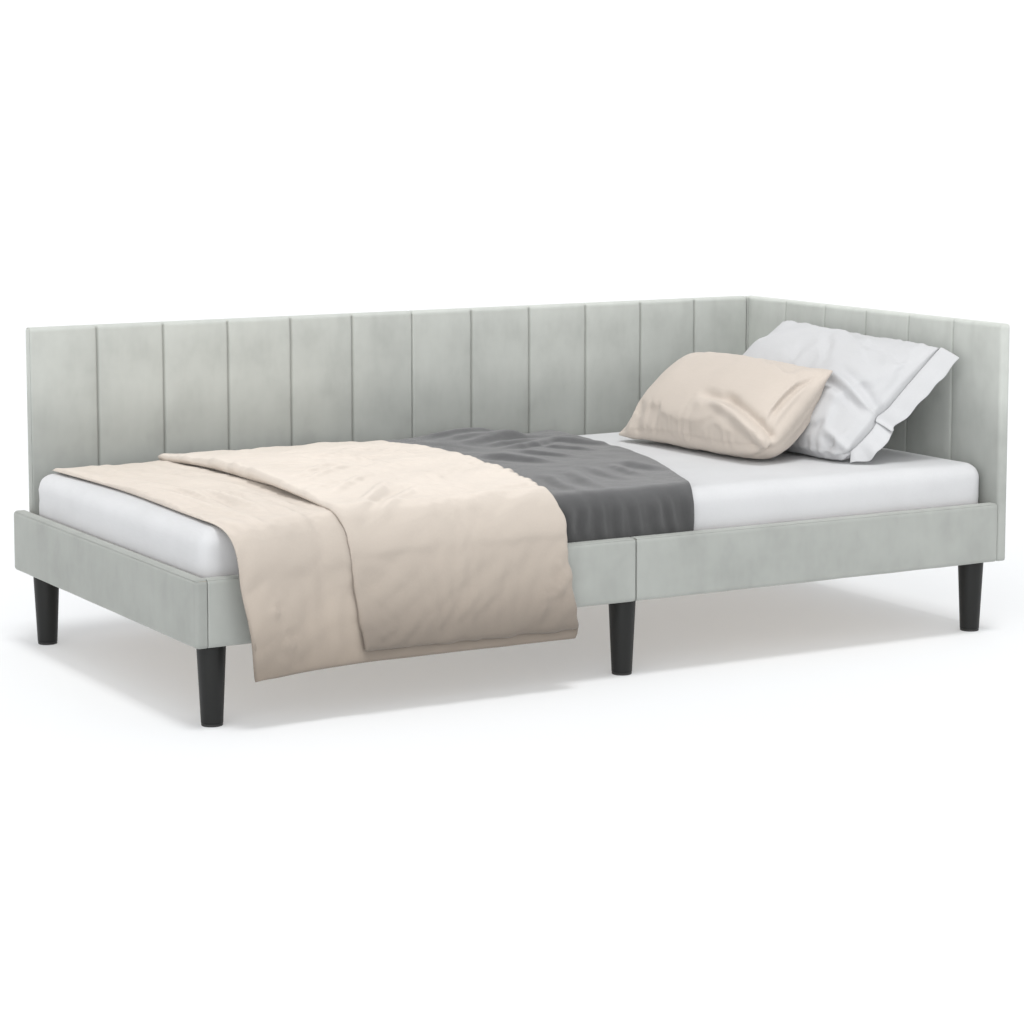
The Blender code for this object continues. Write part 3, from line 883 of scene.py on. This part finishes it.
def puckers(along, away, spacing, reach, height, seed):
    """Short ripples that start at a sewn edge, run straight away from it and die out."""
    line = np.stack([along / spacing, np.full_like(along, 0.0), away / (spacing * 6)], axis=-1)
    ripple = np.array([noise.noise(Vector(p) + Vector((0, seed * 3.7, seed))) for p in line])
    return height * ripple * 1.6 * np.exp(-(np.maximum(away, 0) / reach))


def drape(u, v, angle, length, width, seed):
    """Long soft ridges, about 1 high, that lie at an angle to u. They fade in and out along their length."""
    along = u * math.cos(angle) + v * math.sin(angle)
    across = v * math.cos(angle) - u * math.sin(angle)
    places = [Vector((a / length, b / width, seed * 2.3)) for a, b in zip(along, across)]
    field = np.array([noise.noise(place) for place in places])
    return np.clip(field * 1.8, -0.7, 1.2)


FOLD_R = 0.011
LOWER_TOP, UPPER_UNDER = 0.34, 0.44
# The duvet's edges, as (distance along the path, x). The upper layer is folded back over the lower one.
LOWER_FOOT = [(0.00, -0.965), (0.40, -0.940), (0.95, -0.960), (1.28, -0.915)]
UPPER_FOOT = [(0.00, -0.705), (0.30, -0.690), (0.95, -0.695), (1.24, -0.675)]
HEAD_EDGE = [(0.00, -0.19), (0.15, -0.155), (0.60, -0.165), (1.00, -0.18), (1.24, -0.165)]


def along_edge(knots, distance):
    """x of an edge at each distance, from a smooth curve through its knots."""
    curve = smooth_curve(knots, 200)
    return np.interp(distance, curve[:, 0], curve[:, 1])


def duvet():
    across = Across()
    columns_low, columns_fold, columns_high = 66, 8, 58
    rows = 136
    total = columns_low + columns_fold + columns_high
    column = np.arange(total + 1)[:, None] * np.ones((1, rows + 1))
    j = np.linspace(0, 1, rows + 1)[None, :] * np.ones((total + 1, 1))
    low_run = np.clip(column / columns_low, 0, 1)
    turn = np.clip((column - columns_low) / columns_fold, 0, 1) * math.pi - math.pi / 2
    high_run = np.clip((column - columns_low - columns_fold) / columns_high, 0, 1)
    on_top = smoothstep(-1.0, 1.0, np.sin(turn))
    tip = 1 - low_run
    run_end = across.length - 0.010 + 0.022 * tip ** 10 - 0.022 * on_top
    run_start = 0.004 * (1 - on_top)
    distance = run_start + (run_end - run_start) * j
    foot = along_edge(LOWER_FOOT, distance)
    back_edge = along_edge(UPPER_FOOT, distance)
    scallop = 0.5 - np.abs(np.sin(math.pi * (distance + 0.004 * np.sin(90 * distance)) / 0.031))
    ruched = smoothstep(0.50, 0.62, distance) * smoothstep(0.90, 0.84, distance)
    head = along_edge(HEAD_EDGE, distance) - FOLD_R - 0.010 * scallop * (0.12 + ruched)
    flat_x = foot + (head - foot) * low_run
    flat_x = flat_x + (back_edge - head) * high_run
    under_blanket = 0.22 * smoothstep(-0.40, -0.34, flat_x) * (1 - on_top)
    swing = smoothstep(-0.74, -0.93, flat_x) * (1 - on_top)
    share_out = np.maximum(0.5 + 0.5 * np.sin(turn), under_blanket)
    share_in = (LOWER_TOP + UPPER_UNDER) / 2 + (UPPER_UNDER - LOWER_TOP) / 2 * np.sin(turn)
    bulge = np.cos(turn)
    outside = across.at(flat_x + FOLD_R * bulge, distance, share_out, swing)
    inside = across.at(flat_x + 0.1 * FOLD_R * bulge, distance, share_in, swing)
    free_edge = np.where(high_run > 0, flat_x - back_edge, flat_x - foot)
    away = np.minimum.reduce([free_edge, distance - run_start, run_end - distance])
    rim = 0.014
    full = np.sqrt(1 - (1 - np.clip(away / rim, 0, 1)) ** 2)[..., None]
    middle = inside + (outside - inside) * (0.70 - 0.25 * on_top)[..., None]
    outside = middle + (outside - middle) * full
    inside = middle + (inside - middle) * full
    pad, ids, below = pad_mesh("duvet_quilt", outside, inside, MATERIALS["duvet"])

    count = len(pad.data.vertices)
    inner = below >= ids.size

    def both(outer_values, inner_values):
        values = np.empty(count)
        values[ids.ravel()] = outer_values.ravel()
        values[below[inner]] = inner_values[inner]
        return values

    covered = smoothstep(0.0, 0.05, flat_x - back_edge)
    hidden_out = (1 - on_top) * np.where(j < 0.999, 1.0, 0.0)
    hidden_in = np.where(high_run > 0, 1.0, covered)
    held = both(hidden_out, hidden_in)
    store(pad, "run", both(distance, distance))
    store(pad, "top", both(on_top, -0.5 + 0 * on_top))
    # Painted shade on the lower layer, under the folded-back upper layer.
    store(pad, "painted_shade_under_fold", both(0 * on_top, smoothstep(-0.004, 0.012, flat_x - back_edge)))
    store(pad, "shown", 1 - held)
    weights(pad, "held", 0.25 + 0.75 * held)
    near_edge = 1 - smoothstep(0.0, 0.03, away)
    weights(pad, "gathered", both(near_edge, near_edge))
    simulate(pad, frames=14, pressure=1.5, growth=0.010, cap=0.006, bending=2.0)
    subdivide(pad)
    sculpt_duvet(pad, across)
    declare(pad, "duvet", "duvet", "duvet")


# Folds on the duvet: on its top in x and distance from the back, and on its front in x and z.
UPPER_CREASES = (fan((-0.65, 1.00, -0.45, 0.80), (-0.65, 0.60, -0.50, 0.50), 5, 0.014, 0.0053, 61)
                 + fan((-0.50, 0.35, -0.40, 0.55), (-0.23, 0.20, -0.17, 0.45), 3, 0.018, 0.0065, 62))
FRONT_CREASES = (fan((-0.65, 0.14, -0.58, 0.18), (-0.42, 0.16, -0.34, 0.24), 6, 0.009, 0.0068, 63)
                 + fan((-0.28, 0.15, -0.23, 0.21), (-0.21, 0.28, -0.19, 0.23), 4, 0.008, 0.0075, 64, 0.01))
LOWER_CREASES = (fan((-0.87, 0.45, -0.87, 0.80), (-0.72, 0.60, -0.72, 0.95), 6, 0.013, 0.0058, 65)
                 + fan((-0.90, 1.18, -0.85, 1.20), (-0.84, 1.36, -0.80, 1.33), 3, 0.010, 0.0048, 66))


def sculpt_duvet(pad, across):
    """Adds the gathers along the sewn edges and the larger folds to the duvet's visible faces, and stores
    painted light low on the lower layer and painted shade low on the upper one.
    """
    points = points_of(pad)
    normals = normals_of(pad)
    run, top, shown = (stored(pad, name) for name in ("run", "top", "shown"))
    upper = smoothstep(0.2, 0.8, top)
    lower = smoothstep(-0.25, -0.45, top)
    x = points[:, 0]
    drop = (BACK_Y - points[:, 1]) + np.maximum(TOP - points[:, 2], 0)
    crest = 1 - 0.75 * np.exp(-((run - 0.98) / 0.07) ** 2)
    lift = upper * creases(x, drop, UPPER_CREASES) + lower * crest * creases(x, drop, LOWER_CREASES)
    front = smoothstep(0.02, 0.06, TOP - points[:, 2])
    lift += 0.45 * upper * front * creases(x, points[:, 2], FRONT_CREASES)
    low_down = smoothstep(0.0, 0.20, TOP - points[:, 2])
    lift += (0.0042 * upper * (0.25 + 0.75 * low_down) + 0.0025 * lower * low_down) * front * drape(
        x, points[:, 2], math.radians(35), 0.17, 0.036, 7)
    lift += 0.0030 * upper * (1 - front) * drape(x, drop, math.radians(-38), 0.20, 0.045, 9)
    lift += 0.0030 * lower * (1 - front) * crest * drape(x, drop, math.radians(84), 0.24, 0.030, 12)
    lift += puckers(x, across.length - 0.03 - run, 0.024, 0.040, 0.0016, 1) * (upper + lower) * shown
    beside = np.where(upper > 0.5, x - along_edge(UPPER_FOOT, run), x - along_edge(LOWER_FOOT, run))
    lift += puckers(run, beside, 0.024, 0.020, 0.0030, 2) * shown
    head = along_edge(HEAD_EDGE, run) - x
    ruched = 0.15 + 0.85 * np.exp(-((run - 0.74) / 0.13) ** 2) + 0.35 * smoothstep(1.08, 1.18, run)
    lift += puckers(run, head, 0.024, 0.032, 0.0055, 3) * upper * ruched
    lift += 0.0016 * waves(points, 0.15, 34, 2) * shown
    set_points(pad, points + normals * lift[:, None])
    # Painted light low on the lower layer and painted shade low on the upper one, towards the hem.
    z = points[:, 2]
    lower_layer_painted_light = 0.48 * lower * smoothstep(0.36, 0.18, z)
    upper_layer_painted_shade = 0.45 * upper * smoothstep(0.24, 0.13, z)
    store(pad, "lit", 0.5 + lower_layer_painted_light - upper_layer_painted_shade)


# Folds on the blanket: on its top in x and y, and where it hangs in x and z.
BLANKET_FOLDS = (fan((0.00, 0.48, 0.22, 0.48), (0.10, 0.26, 0.32, 0.34), 5, 0.021, 0.010, 67)
                 + fan((0.00, 0.15, 0.08, 0.00), (0.32, 0.36, 0.37, 0.20), 4, 0.017, 0.006, 68)
                 + fan((-0.04, -0.18, -0.12, -0.42), (0.24, -0.08, 0.22, -0.25), 5, 0.017, 0.005, 69))
BLANKET_DRAPE = fan((-0.15, 0.40, -0.15, 0.30), (0.14, 0.41, 0.16, 0.30), 8, 0.010, 0.0043, 70, 0.01)

HEAD_AT_FRONT = 0.165
SLANT_TURN = 1.9


def blanket():
    columns, rows = 120, 190
    i, j = unit_grid(columns, rows)
    low, high = blanket_low, blanket_high
    radius = sheet_low.y + 0.038
    bend = 0.041
    flat_run = BACK_Y - radius
    bend_run = bend * math.pi / 2
    total = flat_run + bend_run + (TOP - 0.038 - low.z)
    distance = total * j
    over = np.clip((distance - flat_run) / bend, 0, math.pi / 2)
    y = np.where(distance < flat_run, BACK_Y - distance, radius - bend * np.sin(over))
    down = np.maximum(distance - flat_run - bend_run, 0)
    z = TOP + 0.003 - bend * (1 - np.cos(over)) - down
    # The head edge runs aslant: it reaches further towards the head at the back of the bed.
    back_share = np.clip((y - sheet_low.y) / (sheet_high.y - sheet_low.y), 0, 1)
    width = HEAD_AT_FRONT + (high.x - HEAD_AT_FRONT) * np.sin(SLANT_TURN * back_share) - low.x
    x = low.x + width * i
    points = np.stack([x, y, z], axis=-1).reshape(-1, 3)
    made = grid_mesh("blanket_knit", points, i.shape, MATERIALS["blanket"])
    near_the_back = columns // 2 * (rows + 1) + 3
    if made.data.vertex_normals[near_the_back].vector.z < 0:
        made.data.flip_normals()
    normals = normals_of(made)
    x, y, z = points.T
    on_top = smoothstep(TOP - 0.035, TOP - 0.005, z)
    covered = smoothstep(-0.20, -0.25, x)
    lift = 0.003 + 1.3 * creases(x, y, BLANKET_FOLDS) * on_top * (1 - covered)
    lift += creases(x, z, BLANKET_DRAPE) * (1 - on_top) * (1 - covered)
    back = 0.40 + 0.75 * smoothstep(-0.1, 0.35, y)
    bunched = smoothstep(0.25, 0.42, y) * smoothstep(0.30, 0.15, x) * smoothstep(-0.38, -0.26, x)
    lift += 0.009 * bunched * on_top
    lift += (0.0055 * waves(points * np.array([1.0, 0.7, 1.0]), 0.13, 41, 3) * back) * on_top * (1 - covered)
    lift += 0.0008 * waves(points, 0.035, 42, 2) * (1 - covered)
    to_edge = (1 - i.reshape(-1)) * 0.6
    hem = np.exp(-(to_edge / 0.012) ** 2) * 0.0015
    points = points + normals * (np.maximum(lift, 0.0004) + hem)[:, None]
    set_points(made, points)
    solidify(made, 0.0035, 1.0)
    subdivide(made)
    declare(made, "blanket", "blanket", "blanket")


# Pillows

def pillow_pad(name, size, pulls, waist, pinch, skew, boxy, columns, rows, material, growth):
    """A sewn case swelled with cloth. x runs along it, y up it, z out of its front.

    pulls rounds its corners, waist draws its edges in, pinch creases its right-hand edge, and skew slants
    that edge, wider at the bottom. boxy, over 3.5, keeps the right-hand end thick behind."""
    width, height, thickness = size
    i, j = unit_grid(columns, rows, -1)
    i = 0.45 * i + 0.55 * np.sin(i * math.pi / 2)
    j = 0.55 * j + 0.45 * np.sin(j * math.pi / 2)
    across_it = np.sqrt(np.maximum(1 - j ** 2, 0)) ** 0.9
    crown = np.sqrt(np.maximum(1 - np.abs(i) ** 3.5, 0)) * across_it
    behind = np.sqrt(np.maximum(1 - np.abs(i) ** np.where(i > 0, boxy, 3.5), 0)) * across_it
    draw_x = (waist[0] * (1 - j ** 2) + pinch * np.exp(-((j + 0.22) / 0.10) ** 2) * (i > 0)) * np.sign(i)
    draw_x = draw_x * np.abs(i) ** 3
    draw_y = waist[1] * (1 - i ** 2) * np.sign(j) * np.abs(j) ** 3
    x = i * width / 2 - draw_x + skew * (1 - j) / 2 * ((1 + i) / 2) ** 2
    y = j * height / 2 - draw_y
    for side_x, side_y, pull in pulls:
        near = ((1 + side_x * i) / 2) ** 9 * ((1 + side_y * j) / 2) ** 5
        x, y = x - side_x * pull * near, y - side_y * pull * near
    outside = np.stack([x, y, crown * thickness / 2], axis=-1)
    inside = np.stack([x, y, -behind * thickness / 2], axis=-1)
    made, ids, below = pad_mesh(name, outside, inside, material)
    away = np.minimum((1 - np.abs(i)) * width / 2, (1 - np.abs(j)) * height / 2)
    inner = below >= ids.size
    for layer, grid in (("edge", away), ("u", x), ("v", y), ("front", np.where(inner, 1.0, 0.5))):
        values = np.empty(len(made.data.vertices))
        values[ids.ravel()] = grid.ravel()
        values[below[inner]] = grid[inner] if layer != "front" else 0.0
        store(made, layer, values)
    weights(made, "gathered", 1 - smoothstep(0.0, 0.02, stored(made, "edge")))
    simulate(made, frames=12, pressure=1.0, growth=growth, cap=0.008, bending=0.7)
    return made, ids


def leaning(centre, along, up):
    """The matrix of a pillow from its centre and rough directions along and up its face."""
    along = Vector(along).normalized()
    up = Vector(up)
    up = (up - along * up.dot(along)).normalized()
    turned_by = Matrix((along, up, along.cross(up))).transposed()
    return Matrix.Translation(centre) @ turned_by.to_4x4()


def rest_on_sheet(obj):
    """Lowers a pillow until it lies on the sheet, and flattens what would go through it."""
    points = points_of(obj)
    drop = np.percentile(points[:, 2], 2.5) - TOP
    set_points(obj, points - np.array([0, 0, drop]))
    settle(obj)
    return drop


def settle(obj):
    """Flattens what would go through the sheet."""
    points = points_of(obj)
    floor_z, soft = TOP + 0.0015, 0.010
    low = points[:, 2] < floor_z + soft
    pressed = floor_z + soft * np.exp((points[:, 2] - floor_z - soft) / soft)
    points[:, 2] = np.where(low, pressed, points[:, 2])
    set_points(obj, points)


def finish_pillow(made, matrix, valleys, node, slot):
    subdivide(made)
    points = points_of(made)
    normals = normals_of(made)
    u, v, edge, front = (stored(made, name) for name in ("u", "v", "edge", "front"))
    facing = smoothstep(0.4, 0.9, front)
    lift = creases(u, v, valleys) * facing
    half_u, half_v = np.abs(u).max(), np.abs(v).max()
    off_seam = smoothstep(0.0, 0.006, edge)
    lift += puckers(u, half_v - np.abs(v), 0.017, 0.030, 0.0024, 5) * off_seam * (1 + (v < 0))
    lift += puckers(v, half_u - np.abs(u), 0.019, 0.018, 0.0009, 6) * off_seam
    lift += 0.0016 * waves(points, 0.08, 51, 2)
    piping = 0.0030 * np.exp(-(edge / 0.0028) ** 2) - 0.0016 * np.exp(-((edge - 0.006) / 0.003) ** 2)
    set_points(made, points + normals * (lift + piping)[:, None])
    made.data.transform(matrix)
    drop = rest_on_sheet(made)
    declare(made, node, slot, node + "_case", node + "_filling")
    return drop


# Folds on the pillows' fronts, in x and y of each pillow's own frame. Valleys have a height below zero.
WHITE_FOLDS = (fan((0.31, -0.05, 0.13, 0.01), (0.24, -0.05, 0.10, -0.04), 3, 0.013, -0.012, 71, 0.004, -0.6)
               + fan((0.21, -0.13, 0.30, -0.15), (0.22, -0.19, 0.25, -0.14), 2, 0.009, -0.008, 72, 0.004, -0.8)
               + fan((-0.20, 0.14, -0.05, 0.16), (0.05, 0.17, 0.12, 0.10), 2, 0.019, 0.004, 73))
CREAM_FOLDS = (fan((0.10, -0.04, 0.34, -0.10), (0.17, -0.07, 0.34, -0.12), 2, 0.013, -0.017, 74, 0.004, -0.65)
               + fan((0.02, -0.04, 0.16, -0.05), (0.05, -0.06, 0.20, -0.08), 2, 0.012, -0.010, 75, 0.004, -0.6)
               + fan((0.26, 0.12, 0.27, -0.06), (0.27, 0.12, 0.28, -0.06), 2, 0.005, -0.006, 76, 0.001, -0.7))


HEM_THICKNESS = 0.0026


def flange_strip(rim, outward, back, width, taper, seed):
    """A flat double hem sewn along a rim of points. taper narrows it past its middle."""
    rim = np.array(rim)
    count = len(rim)
    steps = 8
    share = np.linspace(0, 1, steps + 1)
    s = np.linspace(0, 1, count)
    grid = np.empty((count, steps + 1, 3))
    sway = np.array([noise.noise(Vector((p * 5.0, seed, 0.0))) for p in s])
    for k, t in enumerate(share):
        bend = back * (t ** 1.3)
        reach = width * t * (1 - taper * smoothstep(0.55, 1.0, s))
        grid[:, k] = rim + outward * reach[:, None] + bend + np.outer(sway * 0.012 * t, [0.2, 0.1, 1.0])
    made = grid_mesh("flange", grid.reshape(-1, 3), grid.shape[:2], MATERIALS["white"])
    solidify(made, HEM_THICKNESS, 0.0)
    subdivide(made)
    return made


def join(target, other):
    """Merges another mesh object into the target."""
    bm = bmesh.new()
    bm.from_mesh(target.data)
    bm.from_mesh(other.data)
    bm.to_mesh(target.data)
    bm.free()
    bpy.data.objects.remove(other)
    target.data.shade_smooth()


def white_pillow():
    size = (0.616, 0.388, 0.155)
    pulls = ((-1, 1, 0.004), (-1, -1, 0.008), (1, -1, 0.034))
    made, ids = pillow_pad("pillow_white", size, pulls, (0.010, 0.008), 0.014, 0.0, 3.5, 84, 58,
                           MATERIALS["white"], 0.012)
    rim = points_of(made)[ids[-1, ::-1]]
    count = len(rim)
    strips = []
    for first, last, aside, outward, width, taper, seed in (
            (0.0, 0.625, 0.0025, (0.90, 0.0, 0.0), 0.050, 0.10, 3),
            (0.58, 0.93, -0.002, (0.88, -0.16, 0.0), 0.042, 0.65, 8)):
        part = rim[int(first * (count - 1)):int(last * (count - 1)) + 1] + np.array([0, 0, aside])
        down = np.linspace(first, last, len(part))
        droop = 0.050 * smoothstep(0.70, 1.0, down)
        fold_back = np.stack([-0.010 * smoothstep(0.8, 1.0, down), -droop * 0.6, -0.030 + droop * 0.2], axis=-1)
        strips.append(flange_strip(part, np.array(outward), fold_back, width, taper, seed))
    matrix = leaning((0.800, -0.045, 0.556), (0.034, -0.998, -0.041), (0.714, 0.053, 0.698))
    drop = finish_pillow(made, matrix, WHITE_FOLDS, "pillow_white", "white_cotton")
    for strip in strips:
        strip.data.transform(Matrix.Translation((0, 0, -drop)) @ matrix)
        settle(strip)
        join(made, strip)


def cream_pillow():
    size = (0.555, 0.315, 0.145)
    pulls = ((-1, 1, 0.024), (1, -1, 0.056))
    made, _ = pillow_pad("pillow_cream", size, pulls, (0.016, 0.006), 0.0, 0.058, 6.0, 84, 50,
                           MATERIALS["cream"], 0.006)
    matrix = leaning((0.598, 0.048, 0.503), (0.038, -0.999, -0.006), (0.771, 0.0, 0.637))
    finish_pillow(made, matrix, CREAM_FOLDS, "pillow_cream", "cream_cotton")


# Studio

def sun(name, energy, spread, direction):
    """A distant lamp. spread is how wide it looks, in degrees."""
    light = bpy.data.lights.new(name, "SUN")
    light.energy = energy
    light.angle = math.radians(spread)
    lamp = bpy.data.objects.new(name, light)
    lamp.rotation_euler = Vector(direction).to_track_quat("-Z", "Y").to_euler()
    bpy.context.scene.collection.objects.link(lamp)


def studio():
    scene = bpy.context.scene
    scene.view_settings.view_transform = "Standard"
    scene.view_settings.look = "None"
    camera = bpy.data.cameras.new("camera")
    camera.sensor_width = 36.0
    camera.lens = 94.75
    camera.shift_y = -0.10
    eye = bpy.data.objects.new("camera", camera)
    eye.location = (-3.0867, -5.3173, 1.2484)
    eye.rotation_euler = Euler((math.radians(90 - 6.625), 0, math.radians(-29.971)))
    scene.collection.objects.link(eye)
    scene.camera = eye

    floor = mesh_object("floor", [(-60, -60, 0), (60, -60, 0), (60, 60, 0), (-60, 60, 0)], [(0, 1, 2, 3)],
                        plain("floor_white", (0.57, 0.58, 0.59), 0.9, scale=3.0, fleck=0.002, bump=0.0))
    glow = floor.data.materials[0].node_tree.nodes["Principled BSDF"]
    glow.inputs["Emission Color"].default_value = (0.98, 0.99, 1, 1)
    glow.inputs["Emission Strength"].default_value = 0.27
    world = bpy.data.worlds.new("studio")
    world.use_nodes = True
    tree = world.node_tree
    direction = tree.nodes.new("ShaderNodeTexCoord").outputs["Generated"]
    height = tree.nodes.new("ShaderNodeSeparateXYZ")
    tree.links.new(direction, height.inputs["Vector"])
    ramp = tree.nodes.new("ShaderNodeValToRGB")
    ramp.color_ramp.elements[0].position = 0.20
    ramp.color_ramp.elements[0].color = (1.45, 1.45, 1.45, 1)
    ramp.color_ramp.elements[1].position = 0.45
    ramp.color_ramp.elements[1].color = (0.62, 0.62, 0.62, 1)
    tree.links.new(height.outputs["Z"], ramp.inputs["Fac"])
    tree.links.new(ramp.outputs["Color"], tree.nodes["Background"].inputs["Color"])
    tree.nodes["Background"].inputs["Strength"].default_value = 1.0
    scene.world = world
    sun("overhead", 1.55, 15, (0.03, 0.20, -1.0))
    sun("fill", 0.95, 50, (0.55, 0.65, -0.45))


paint_cad_nodes()
upholstery()
legs()
mattress_and_sheet()
duvet()
blanket()
white_pillow()
cream_pillow()
studio()
